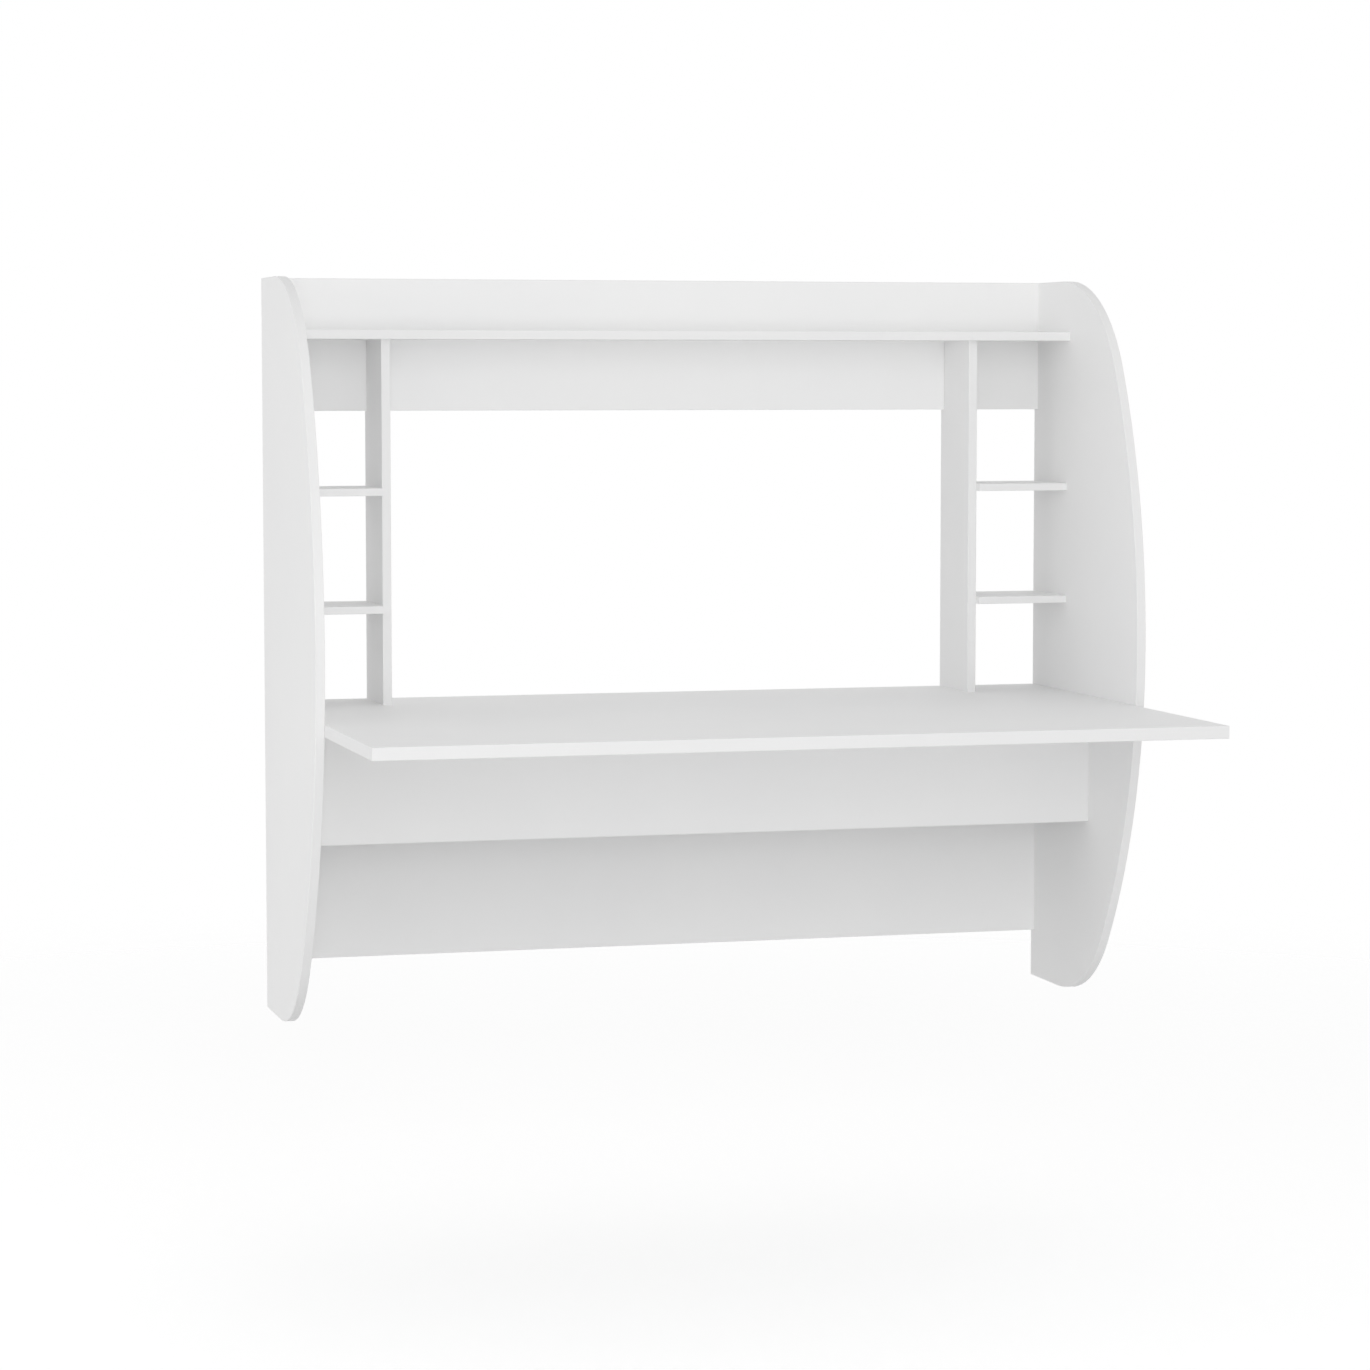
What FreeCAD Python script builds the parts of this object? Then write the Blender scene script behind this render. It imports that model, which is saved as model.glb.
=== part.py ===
import FreeCAD, Part
import os
import Sketcher
from types import SimpleNamespace

# Wall-hung desk of laminated boards, in millimetres.
# The wall is the plane y = 0, the front is towards -Y, and +Z is up.
# The origin is the middle of the four wall-screw holes, on the wall plane.

Vector = FreeCAD.Vector
RIGHT, LEFT = 1, -1
HANDS = {"right": RIGHT, "left": LEFT}
X_AXIS = Vector(1, 0, 0)
Y_AXIS = Vector(0, 1, 0)
Z_AXIS = Vector(0, 0, 1)

DRIVING_SIZES = [
    ("overall_width", 1100, "outside of one side to outside of the other"),
    ("side_height", 972, "straight rear edge of a side"),
    ("side_depth", 388, "wall to the foremost point of the bow"),
    ("side_board", 12, "thickness of a side"),
    ("side_end_flat", 108, "straight part of a side's top and bottom edge"),
    ("side_upper_corner_share", 0.77, "upper corner's radius over the bow's reach past that edge"),
    ("side_lower_corner_share", 0.67, "lower corner's radius over the bow's reach past that edge"),
    ("side_above_desktop", 560, "top of the sides over the desktop"),
    ("desktop_board", 16, "thickness of the desktop"),
    ("desktop_depth", 692, "wall to the front of the desktop"),
    ("wall_screw_drop", 100, "desktop top to the middle of the wall screws"),
    ("back_board", 12, "thickness of the rail and the lower panel"),
    ("rail_height", 175, "height of the rail"),
    ("lower_panel_rise", 65, "bottom of the sides to the bottom of the lower panel"),
    ("apron_board", 12, "thickness of the apron"),
    ("apron_height", 155, "height of the apron"),
    ("apron_setback", 217, "wall to the front of the apron"),
    ("shelf_board", 12, "thickness of the top shelf"),
    ("shelf_depth", 135, "wall to the front of the top shelf"),
    ("shelf_drop", 69, "top of the sides to the top of the top shelf"),
    ("divider_board", 12, "thickness of a divider"),
    ("divider_depth", 114, "wall to the front of a divider"),
    ("notch_play", 0.5, "room round the rail in a divider's notch"),
    ("cubby_board", 10, "thickness of a cubby shelf"),
    ("cubby_width", 126, "side to divider"),
    ("cubby_depth", 126, "wall to the front of a cubby shelf"),
    ("upper_cubby_share", 0.595, "top of the upper cubby shelves over the bay's height"),
    ("lower_cubby_share", 0.2735, "top of the lower cubby shelves over the bay's height"),
    ("edging", 1, "thickness of the edging strips"),
    ("edging_round_share", 0.8, "rounding of an edging's outer edges over its thickness"),
    ("fixing_inset", 40, "end fixings from the ends of an upright board"),
    ("dowel_inset", 26, "outer dowels from the front and rear of a shelf"),
    ("edge_fixing_inset", 238, "outer fixings along a long edge from the board's ends"),
    ("cam_diameter", 12, "hole for a cam lock"),
    ("cam_axis", 6, "face of the board to the axis of the cam's bolt"),
    ("cam_set_in", 24, "end of the board to the middle of the cam"),
    ("cam_floor", 0.5, "cam lock under the bolt that it holds"),
    ("bolt_diameter", 5, "thread and shank of a cam bolt"),
    ("bolt_neck", 3.2, "waist of a cam bolt behind its head"),
    ("bolt_head", 3, "length of a cam bolt's head"),
    ("bolt_bite", 8.5, "thread of a cam bolt in the other board"),
    ("bolt_room", 0.4, "room round a cam bolt's shank in its bore"),
    ("dowel_diameter", 6, "wooden dowel"),
    ("dowel_length", 25, "wooden dowel"),
    ("dowel_bite", 8, "part of a dowel that sits in the other board's face"),
    ("dowel_chamfer", 0.8, "broken edge at a dowel's ends"),
    ("fitting_play", 0.1, "room round a dowel or a cam in its hole"),
    ("hole_end_room", 0.5, "room past the end of a fastener in a blind hole"),
    ("divider_screw", 45, "length of a screw up into a divider"),
    ("shelf_screw", 40, "length of a screw through the rail into the shelf"),
    ("board_screw_shank", 4, "shank of those screws"),
    ("board_screw_head", 8, "head of those screws"),
    ("hanger_inset", 132, "end of the rail to the middle of a hanger"),
    ("hanger_drop", 52, "top of the rail to the middle of a hanger"),
    ("hanger_length", 72, "height of a hanger plate"),
    ("hanger_width", 24, "width of a hanger plate"),
    ("hanger_plate", 2, "thickness of a hanger plate"),
    ("hanger_screw", 9, "length of a hanger plate's screw"),
    ("hanger_screw_shank", 3.5, "shank of that screw"),
    ("hanger_screw_head", 7, "head of that screw"),
    ("keyhole_entry", 11, "round hole that a wall screw's head passes"),
    ("keyhole_slot", 5.5, "slot for a wall screw's shank"),
    ("keyhole_lift", 13, "entry up to the seat of the wall screw"),
    ("keyhole_pocket", 7, "depth behind the hanger for the screw's head"),
    ("wall_screw_hole", 5.5, "plain hole in the lower panel"),
    ("wall_screw_spacing", 812, "wall-screw holes from left to right"),
    ("wall_screw_pitch", 80, "wall-screw holes from bottom to top"),
    ("drive_slot", 1.2, "width of a cross slot in a head"),
    ("drive_depth", 1.5, "depth of a cross slot in a head"),
]


class Size:
    """A length that keeps its sheet expression beside its present value."""

    def __init__(self, text, value):
        self.text = text
        self.value = value

    def joined(self, sign, other, value):
        return Size(f"({self.text} {sign} {other.text})", value)

    def __add__(self, other):
        other = as_size(other)
        return self.joined("+", other, self.value + other.value)

    def __sub__(self, other):
        other = as_size(other)
        return self.joined("-", other, self.value - other.value)

    def __mul__(self, other):
        other = as_size(other)
        return self.joined("*", other, self.value * other.value)

    def __truediv__(self, other):
        other = as_size(other)
        return self.joined("/", other, self.value / other.value)

    def __neg__(self):
        return Size(f"(0 - {self.text})", -self.value)


def as_size(number):
    if isinstance(number, Size):
        return number
    return Size(str(float(number)), float(number))


def fill_sheet(doc):
    sheet = doc.addObject("Spreadsheet::Sheet", "Sizes")
    for row, (alias, value, meaning) in enumerate(DRIVING_SIZES, 1):
        sheet.set(f"A{row}", alias)
        sheet.set(f"B{row}", str(value))
        sheet.setAlias(f"B{row}", alias)
        sheet.set(f"C{row}", meaning)
    doc.recompute()
    return {alias: Size(f"Sizes.{alias}", float(sheet.get(alias))) for alias, _, _ in DRIVING_SIZES}


document = FreeCAD.newDocument("floating_desk")
size = SimpleNamespace(**fill_sheet(document))
ZERO = as_size(0)
sub_parts = []

# Levels and faces that several boards share

inner_half = size.overall_width / 2 - size.side_board
desktop_top = size.wall_screw_drop
desktop_under = desktop_top - size.desktop_board
desktop_line = desktop_under + size.cam_axis
side_top = desktop_top + size.side_above_desktop
side_bottom = side_top - size.side_height
rail_bottom = side_top - size.rail_height
back_line = -size.cam_axis
shelf_top = side_top - size.shelf_drop
shelf_under = shelf_top - size.shelf_board
shelf_line = shelf_under + size.cam_axis
apron_bottom = desktop_under - size.apron_height
apron_rear = -(size.apron_setback - size.apron_board)
apron_line = apron_rear - size.cam_axis
panel_bottom = side_bottom + size.lower_panel_rise
panel_height = desktop_under - panel_bottom
divider_outer_face = inner_half - size.cubby_width
divider_centre = divider_outer_face - size.divider_board / 2
bay_height = shelf_under - desktop_top
cubby_levels = {
    "upper": desktop_top + bay_height * size.upper_cubby_share - size.cubby_board,
    "lower": desktop_top + bay_height * size.lower_cubby_share - size.cubby_board,
}
hanger_level = side_top - size.hanger_drop
hanger_centres = [(inner_half - size.hanger_inset) * hand for hand in (LEFT, RIGHT)]
edging_round = size.edging * size.edging_round_share
cam_height = size.cam_axis + size.bolt_diameter / 2 + size.cam_floor

# Where the fixings sit along each board

cam_reach = inner_half - size.cam_set_in
shelf_cam_ys = [-(size.back_board + size.shelf_depth) / 2]
shelf_dowel_ys = [-(size.back_board + size.dowel_inset), -(size.shelf_depth - size.dowel_inset)]
cubby_dowel_ys = [-size.dowel_inset, -(size.cubby_depth - size.dowel_inset)]
divider_fixing_ys = [-(size.back_board + size.dowel_inset), -(size.divider_depth - size.dowel_inset)]
rail_cam_zs = [rail_bottom + size.fixing_inset, side_top - size.fixing_inset]
rail_dowel_zs = [(rail_bottom + side_top) / 2]
apron_cam_zs = [apron_bottom + size.fixing_inset, desktop_under - size.fixing_inset]
apron_dowel_zs = [(apron_bottom + desktop_under) / 2]
panel_cam_zs = [panel_bottom + size.fixing_inset, desktop_under - size.fixing_inset]
panel_dowel_zs = [panel_bottom + panel_height * share / 3 for share in (1, 2)]
desktop_cam_ys = [-size.fixing_inset, -size.side_depth / 2, -(size.side_depth - size.fixing_inset)]
desktop_dowel_ys = [(desktop_cam_ys[place] + desktop_cam_ys[place + 1]) / 2 for place in (0, 1)]
edge_fixing_reach = inner_half - size.edge_fixing_inset
long_edge_xs = [-edge_fixing_reach, ZERO, edge_fixing_reach]
divider_fixings = [(divider_centre * hand, line) for hand in (LEFT, RIGHT) for line in divider_fixing_ys]
wall_screw_points = [
    (size.wall_screw_spacing / 2 * across, size.wall_screw_pitch / 2 * up)
    for across in (LEFT, RIGHT)
    for up in (-1, 1)
]

# The same places as points (y, z) on the inner face of a side

cams_open_down = [(line, shelf_line) for line in shelf_cam_ys]
cams_open_down += [(line, desktop_line) for line in desktop_cam_ys]
cams_open_back = [(back_line, level) for level in rail_cam_zs + panel_cam_zs]
cams_open_back += [(apron_line, level) for level in apron_cam_zs]
end_dowels = [(line, shelf_line) for line in shelf_dowel_ys]
end_dowels += [(line, desktop_line) for line in desktop_dowel_ys]
end_dowels += [(back_line, level) for level in rail_dowel_zs + panel_dowel_zs]
end_dowels += [(apron_line, level) for level in apron_dowel_zs]
cubby_middles = [level + size.cubby_board / 2 for level in cubby_levels.values()]
cubby_dowels = [(line, middle) for middle in cubby_middles for line in cubby_dowel_ys]

# Sketching and solid features


def bind(thing, path, length):
    thing.setExpression(path, length.text)


def new_body(label, base=(ZERO, ZERO, ZERO)):
    body = document.addObject("PartDesign::Body", label)
    body.Label = label
    place(body, base)
    return body


def place(body, base, rotation=None):
    where = Vector(*[length.value for length in base])
    body.Placement = FreeCAD.Placement(where, rotation or FreeCAD.Rotation())
    for letter, length in zip("xyz", base):
        if length is not ZERO:
            bind(body, f"Placement.Base.{letter}", length)


def sketch_on(body, name, plane_role, offset=None):
    plane = [item for item in body.Origin.OriginFeatures if item.Role == plane_role][0]
    sketch = body.newObject("Sketcher::SketchObject", name)
    sketch.AttachmentSupport = [(plane, "")]
    sketch.MapMode = "FlatFace"
    if offset is not None:
        sketch.AttachmentOffset = FreeCAD.Placement(Vector(0, 0, offset.value), FreeCAD.Rotation())
        bind(sketch, "AttachmentOffset.Base.z", offset)
    return sketch


def constrain(sketch, kind, *where, length=None):
    if length is None:
        return sketch.addConstraint(Sketcher.Constraint(kind, *where))
    index = sketch.addConstraint(Sketcher.Constraint(kind, *where, length.value))
    bind(sketch, f"Constraints[{index}]", length)
    return index


def fix_point(sketch, geometry, end, across, up):
    for kind, length, axis in (("DistanceX", across, -2), ("DistanceY", up, -1)):
        if length is ZERO:
            constrain(sketch, "PointOnObject", geometry, end, axis)
        else:
            constrain(sketch, kind, geometry, end, length=length)


def flat(across, up):
    return Vector(across.value, up.value, 0)


def draw_polygon(sketch, corners):
    count = len(corners)
    first = sketch.GeometryCount
    for index, corner in enumerate(corners):
        following = corners[(index + 1) % count]
        sketch.addGeometry(Part.LineSegment(flat(*corner), flat(*following)), False)
    for index, corner in enumerate(corners):
        constrain(sketch, "Coincident", first + index, 2, first + (index + 1) % count, 1)
        fix_point(sketch, first + index, 1, *corner)


def draw_rectangle(sketch, across_low, across_high, up_low, up_high):
    draw_polygon(sketch, [
        (across_low, up_low),
        (across_high, up_low),
        (across_high, up_high),
        (across_low, up_high),
    ])


def draw_circles(sketch, centres, diameter):
    for across, up in centres:
        circle = Part.Circle(flat(across, up), Z_AXIS, diameter.value / 2)
        index = sketch.addGeometry(circle, False)
        fix_point(sketch, index, 3, across, up)
        constrain(sketch, "Diameter", index, length=diameter)


def draw_upright_slot(sketch, across, low, high, width):
    """A slot with round ends whose end centres are at the two heights."""
    half = width.value / 2
    x, bottom, top = across.value, low.value, high.value
    low_right, high_right = Vector(x + half, bottom, 0), Vector(x + half, top, 0)
    low_left, high_left = Vector(x - half, bottom, 0), Vector(x - half, top, 0)
    right_line = Part.LineSegment(low_right, high_right)
    top_arc = Part.Arc(high_right, Vector(x, top + half, 0), high_left)
    left_line = Part.LineSegment(high_left, low_left)
    bottom_arc = Part.Arc(low_left, Vector(x, bottom - half, 0), low_right)
    first = sketch.GeometryCount
    for curve in (right_line, top_arc, left_line, bottom_arc):
        sketch.addGeometry(curve, False)
    right, upper, left, lower = range(first, first + 4)
    constrain(sketch, "Tangent", right, 2, upper, 1)
    constrain(sketch, "Tangent", upper, 2, left, 1)
    constrain(sketch, "Tangent", left, 2, lower, 1)
    constrain(sketch, "Tangent", lower, 2, right, 1)
    fix_point(sketch, lower, 3, across, low)
    constrain(sketch, "DistanceY", upper, 3, length=high)
    constrain(sketch, "Vertical", right)
    constrain(sketch, "Radius", lower, length=width / 2)


def draw_cross(sketch, reach, width):
    half_reach, half_width = reach / 2, width / 2
    quarter = [(half_reach, -half_width), (half_reach, half_width), (half_width, half_width)]
    corners = []
    for turn in range(4):
        corners.extend(quarter)
        quarter = [(-up, across) for across, up in quarter]
    draw_polygon(sketch, corners)


def pad(body, sketch, length, along=1):
    feature = body.newObject("PartDesign::Pad", f"{sketch.Name}_pad")
    feature.Profile = sketch
    feature.Reversed = along < 0
    bind(feature, "Length", length)
    return feature


def cut(body, sketch, depth, along, taper=0):
    """Take the sketch's outline away, along or against its normal."""
    feature = body.newObject("PartDesign::Pocket", f"{sketch.Name}_cut")
    feature.Profile = sketch
    feature.Reversed = along > 0
    feature.TaperAngle = taper
    bind(feature, "Length", depth)
    return feature


def drill(body, name, plane_role, centres, diameter, depth, along, offset=None):
    sketch = sketch_on(body, name, plane_role, offset)
    draw_circles(sketch, centres, diameter)
    cut(body, sketch, depth, along)


def countersink(body, name, plane_role, centres, head, shank, along):
    """A 90 degree seat for screw heads that lie flush with the face."""
    sketch = sketch_on(body, name, plane_role)
    draw_circles(sketch, centres, head)
    cut(body, sketch, (head - shank) / 2, along, taper=-45)


def revolve(body, sketch):
    feature = body.newObject("PartDesign::Revolution", f"{sketch.Name}_turned")
    feature.Profile = sketch
    feature.ReferenceAxis = (sketch, ["V_Axis"])
    feature.Angle = 360
    return feature


def keep(body):
    sub_parts.append(body)
    return body


# Holes for the cam locks, their bolts and the dowels

bolt_bore = size.bolt_diameter + size.bolt_room * 2
bolt_hole_depth = size.bolt_bite + size.hole_end_room
dowel_hole = size.dowel_diameter + size.fitting_play * 2
dowel_face_depth = size.dowel_bite + size.hole_end_room
dowel_end_depth = size.dowel_length - size.dowel_bite + size.hole_end_room


def bore_board_ends(body, cams, dowels, end=inner_half):
    """Bolt bores and dowel holes in both ends of a board; points are (y, z)."""
    for name, hand in HANDS.items():
        end_face = end * hand
        bore_depth = size.cam_set_in - (inner_half - end)
        drill(body, f"{body.Name}_{name}_bores", "YZ_Plane", cams, bolt_bore, bore_depth, -hand, end_face)
        hole_depth = dowel_end_depth - (inner_half - end)
        drill(body, f"{body.Name}_{name}_dowels", "YZ_Plane", dowels, dowel_hole, hole_depth, -hand, end_face)


def end_cam_points(places):
    return [(cam_reach * hand, line) for hand in (LEFT, RIGHT) for line in places]


# Sides


def draw_side_outline(sketch, inset, closed):
    """Straight top and bottom edges, a rounded corner at each and a bow, fuller in its upper half."""
    top, bottom = side_top - inset, side_bottom + inset
    middle, half_height = (top + bottom) / 2, (top - bottom) / 2
    full_reach = size.side_depth - size.side_end_flat
    reach = full_reach - inset
    flat_end = -size.side_end_flat.value
    foremost = Vector(flat_end - reach.value, middle.value, 0)

    radii, arcs = [], []
    for share, up in ((size.side_upper_corner_share, 1), (size.side_lower_corner_share, -1)):
        corner = full_reach * share - inset
        rise = half_height - corner
        bow = (reach + corner) / 2 + rise * rise / ((reach - corner) * 2)
        end = Vector(flat_end, middle.value + half_height.value * up, 0)
        corner_centre = end - Vector(0, corner.value * up, 0)
        bow_centre = foremost + Vector(bow.value, 0, 0)
        turn = (corner_centre - bow_centre).normalize()
        meet = bow_centre + turn * bow.value
        on_corner = corner_centre + (turn + Vector(0, up, 0)).normalize() * corner.value
        on_bow = bow_centre + (turn - Vector(1, 0, 0)).normalize() * bow.value
        radii.append((corner, bow))
        arcs.append(((end, on_corner, meet), (meet, on_bow, foremost)))
    (upper_corner, upper_bow), (lower_corner, lower_bow) = radii
    (over_corner, over_bow), (under_corner, under_bow) = arcs

    top_line = Part.LineSegment(Vector(0, top.value, 0), over_corner[0])
    bottom_line = Part.LineSegment(under_corner[0], Vector(0, bottom.value, 0))
    sketch.addGeometry(top_line, False)
    for points in (over_corner, over_bow, under_bow[::-1], under_corner[::-1]):
        sketch.addGeometry(Part.Arc(*points), False)
    sketch.addGeometry(bottom_line, False)
    for curve in range(5):
        constrain(sketch, "Tangent", curve, 2, curve + 1, 1)
    fix_point(sketch, 0, 1, ZERO, top)
    fix_point(sketch, 5, 2, ZERO, bottom)
    constrain(sketch, "Horizontal", 0)
    constrain(sketch, "Horizontal", 5)
    constrain(sketch, "DistanceX", 0, 2, length=-size.side_end_flat)
    constrain(sketch, "DistanceX", 5, 1, length=-size.side_end_flat)
    constrain(sketch, "DistanceY", 2, 2, length=middle)
    for arc, radius in enumerate((upper_corner, upper_bow, lower_bow, lower_corner), 1):
        constrain(sketch, "Radius", arc, length=radius)
    if closed:
        rear_line = Part.LineSegment(bottom_line.EndPoint, top_line.StartPoint)
        sketch.addGeometry(rear_line, False)
        constrain(sketch, "Coincident", 5, 2, 6, 1)
        constrain(sketch, "Coincident", 6, 2, 0, 1)


def side(name, hand):
    body = new_body(f"{name}_side", (inner_half * hand, ZERO, ZERO))
    outline = sketch_on(body, f"{name}_side_outline", "YZ_Plane")
    draw_side_outline(outline, size.edging, closed=True)
    pad(body, outline, size.side_board, hand)
    bolts = cams_open_down + cams_open_back
    drill(body, f"{name}_side_bolts", "YZ_Plane", bolts, size.bolt_diameter, bolt_hole_depth, hand)
    dowels = end_dowels + cubby_dowels
    drill(body, f"{name}_side_dowels", "YZ_Plane", dowels, dowel_hole, dowel_face_depth, hand)
    return keep(body)


def draw_edging_section(sketch, low, high, glue, outer):
    """A strip's section: square where it is glued, rounded at its outer edges."""
    radius = edging_round
    shoulder = outer - radius
    corners = [(low, glue), (high, glue), (high, shoulder), (high - radius, outer),
               (low + radius, outer), (low, shoulder)]
    bulge = radius.value * 0.5 ** 0.5
    curves = []
    for index, corner in enumerate(corners):
        start, end = flat(*corner), flat(*corners[(index + 1) % len(corners)])
        if index in (2, 4):
            middle_x = high.value - radius.value + bulge if index == 2 else low.value + radius.value - bulge
            middle = Vector(middle_x, shoulder.value + bulge, 0)
            curves.append(Part.Arc(start, middle, end))
        else:
            curves.append(Part.LineSegment(start, end))
    for curve in curves:
        sketch.addGeometry(curve, False)
    for index in range(len(corners)):
        constrain(sketch, "Coincident", index, 2, (index + 1) % len(corners), 1)
    for line, corner in ((0, corners[0]), (1, corners[1]), (3, corners[3]), (5, corners[5])):
        fix_point(sketch, line, 1, *corner)
    fix_point(sketch, 1, 2, *corners[2])
    fix_point(sketch, 3, 2, *corners[4])
    for arc in (2, 4):
        constrain(sketch, "Radius", arc, length=radius)


def side_edging(name, hand):
    body = new_body(f"{name}_side_edging", (inner_half * hand, ZERO, ZERO))
    path = sketch_on(body, f"{name}_side_edging_path", "YZ_Plane")
    draw_side_outline(path, size.edging, closed=False)
    section = sketch_on(body, f"{name}_side_edging_section", "XZ_Plane")
    faces = (ZERO, size.side_board) if hand == RIGHT else (-size.side_board, ZERO)
    draw_edging_section(section, *faces, side_top - size.edging, side_top)
    sweep = body.newObject("PartDesign::AdditivePipe", f"{name}_side_edging_sweep")
    sweep.Profile = section
    sweep.Spine = path
    return keep(body)


def edging_strip(label, across, outward, board, length, base):
    """A straight strip: its section is drawn flat and runs along its local Z."""
    along = across.cross(outward)
    body = new_body(label)
    place(body, base, FreeCAD.Rotation(across, outward, along, "XYZ"))
    section = sketch_on(body, f"{label}_section", "XY_Plane")
    draw_edging_section(section, ZERO, board, ZERO, size.edging)
    pad(body, section, length)
    return keep(body)


# Desktop


def desktop():
    body = new_body("desktop", (ZERO, ZERO, desktop_under))
    core_half = inner_half - size.edging
    outline = sketch_on(body, "desktop_outline", "XY_Plane")
    draw_rectangle(outline, -core_half, core_half, -(size.desktop_depth - size.edging), ZERO)
    pad(body, outline, size.desktop_board)
    cams = [(line, size.cam_axis) for line in desktop_cam_ys]
    dowels = [(line, size.cam_axis) for line in desktop_dowel_ys]
    bore_board_ends(body, cams, dowels, core_half)
    drill(body, "desktop_cams", "XY_Plane", end_cam_points(desktop_cam_ys), size.cam_diameter, cam_height, 1)
    bolts = [(across, line) for across in long_edge_xs for line in (back_line, apron_line)]
    drill(body, "desktop_bolts", "XY_Plane", bolts, size.bolt_diameter, bolt_hole_depth, 1)
    shank, head = size.board_screw_shank, size.board_screw_head
    drill(body, "desktop_screws", "XY_Plane", divider_fixings, shank, size.desktop_board, 1)
    countersink(body, "desktop_seats", "XY_Plane", divider_fixings, head, shank, 1)
    return keep(body)


def desktop_edgings():
    core_half = inner_half - size.edging
    core_front = -(size.desktop_depth - size.edging)
    edging_strip("desktop_front_edging", Z_AXIS, -Y_AXIS, size.desktop_board, inner_half * 2,
                 (-inner_half, core_front, desktop_under))
    for name, hand in HANDS.items():
        start = core_front if hand == RIGHT else ZERO
        strip = edging_strip(f"desktop_{name}_edging", Z_AXIS, X_AXIS * hand, size.desktop_board,
                             size.desktop_depth - size.edging, (core_half * hand, start, desktop_under))
        bores = [(size.cam_axis, (line - start) * hand) for line in desktop_cam_ys]
        drill(strip, f"{strip.Name}_bores", "XZ_Plane", bores, bolt_bore, size.edging, -1)
        dowels = [(size.cam_axis, (line - start) * hand) for line in desktop_dowel_ys]
        drill(strip, f"{strip.Name}_dowels", "XZ_Plane", dowels, dowel_hole, size.edging, -1)


# Upright boards at the wall and under the desktop


def rail():
    body = new_body("rail")
    outline = sketch_on(body, "rail_outline", "XZ_Plane")
    draw_rectangle(outline, -inner_half, inner_half, rail_bottom + size.edging, side_top - size.edging)
    pad(body, outline, size.back_board)
    cams = [(back_line, level) for level in rail_cam_zs]
    dowels = [(back_line, level) for level in rail_dowel_zs]
    bore_board_ends(body, cams, dowels)
    drill(body, "rail_cams", "XZ_Plane", end_cam_points(rail_cam_zs), size.cam_diameter, cam_height, 1)
    screws = [(across, shelf_line) for across in long_edge_xs]
    shank, head = size.board_screw_shank, size.board_screw_head
    drill(body, "rail_screws", "XZ_Plane", screws, shank, size.back_board, 1)
    countersink(body, "rail_seats", "XZ_Plane", screws, head, shank, 1)
    cut_hanger_seats(body)
    return keep(body)


def cut_hanger_seats(body):
    """The routed recess of each hanger, with room behind its keyhole."""
    recess = sketch_on(body, "hanger_recess", "XZ_Plane")
    pocket = sketch_on(body, "hanger_pocket", "XZ_Plane")
    half_run = (size.hanger_length - size.hanger_width) / 2
    entry, seat = keyhole_heights()
    for across in hanger_centres:
        draw_upright_slot(recess, across, hanger_level - half_run, hanger_level + half_run,
                          size.hanger_width + size.fitting_play * 2)
        draw_upright_slot(pocket, across, hanger_level + entry, hanger_level + seat,
                          size.keyhole_entry + size.fitting_play * 2)
    cut(body, recess, size.hanger_plate, 1)
    cut(body, pocket, size.keyhole_pocket, 1)
    pilots = [(across, hanger_level + rise) for across in hanger_centres for rise in hanger_screw_heights()]
    drill(body, "hanger_pilots", "XZ_Plane", pilots, size.hanger_screw_shank,
          size.hanger_screw + size.hole_end_room, 1)


def keyhole_heights():
    """The entry's and the seat's height over the middle of a hanger."""
    return -size.keyhole_lift / 2, size.keyhole_lift / 2


def hanger_screw_heights():
    reach = (size.hanger_length - size.hanger_width) / 2
    return [-reach, reach]


def lower_panel():
    body = new_body("lower_panel")
    outline = sketch_on(body, "lower_panel_outline", "XZ_Plane")
    draw_rectangle(outline, -inner_half, inner_half, panel_bottom + size.edging, desktop_under)
    pad(body, outline, size.back_board)
    cams = [(back_line, level) for level in panel_cam_zs]
    dowels = [(back_line, level) for level in panel_dowel_zs]
    bore_board_ends(body, cams, dowels)
    drill_top_edge(body)
    cam_points = end_cam_points(panel_cam_zs) + top_edge_cam_points()
    drill(body, "lower_panel_cams", "XZ_Plane", cam_points, size.cam_diameter, cam_height, 1)
    drill(body, "wall_screw_holes", "XZ_Plane", wall_screw_points, size.wall_screw_hole, size.back_board, 1)
    return keep(body)


def apron():
    body = new_body("apron", (ZERO, apron_rear, ZERO))
    outline = sketch_on(body, "apron_outline", "XZ_Plane")
    draw_rectangle(outline, -inner_half, inner_half, apron_bottom + size.edging, desktop_under)
    pad(body, outline, size.apron_board)
    cams = [(back_line, level) for level in apron_cam_zs]
    dowels = [(back_line, level) for level in apron_dowel_zs]
    bore_board_ends(body, cams, dowels)
    drill_top_edge(body)
    cam_points = end_cam_points(apron_cam_zs) + top_edge_cam_points()
    drill(body, "apron_cams", "XZ_Plane", cam_points, size.cam_diameter, cam_height, 1)
    return keep(body)


def drill_top_edge(body):
    """Bolt bores down into an upright board that hangs under the desktop."""
    bores = [(across, back_line) for across in long_edge_xs]
    drill(body, f"{body.Name}_top_bores", "XY_Plane", bores, bolt_bore, size.cam_set_in, -1, desktop_under)


def top_edge_cam_points():
    return [(across, desktop_under - size.cam_set_in) for across in long_edge_xs]


def upright_edgings():
    width = inner_half * 2
    edging_strip("rail_top_edging", -Y_AXIS, Z_AXIS, size.back_board, width,
                 (inner_half, ZERO, side_top - size.edging))
    edging_strip("rail_bottom_edging", -Y_AXIS, -Z_AXIS, size.back_board, width,
                 (-inner_half, ZERO, rail_bottom + size.edging))
    edging_strip("lower_panel_edging", -Y_AXIS, -Z_AXIS, size.back_board, width,
                 (-inner_half, ZERO, panel_bottom + size.edging))
    edging_strip("apron_edging", -Y_AXIS, -Z_AXIS, size.apron_board, width,
                 (-inner_half, apron_rear, apron_bottom + size.edging))


# Top shelf, dividers and cubby shelves


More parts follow.
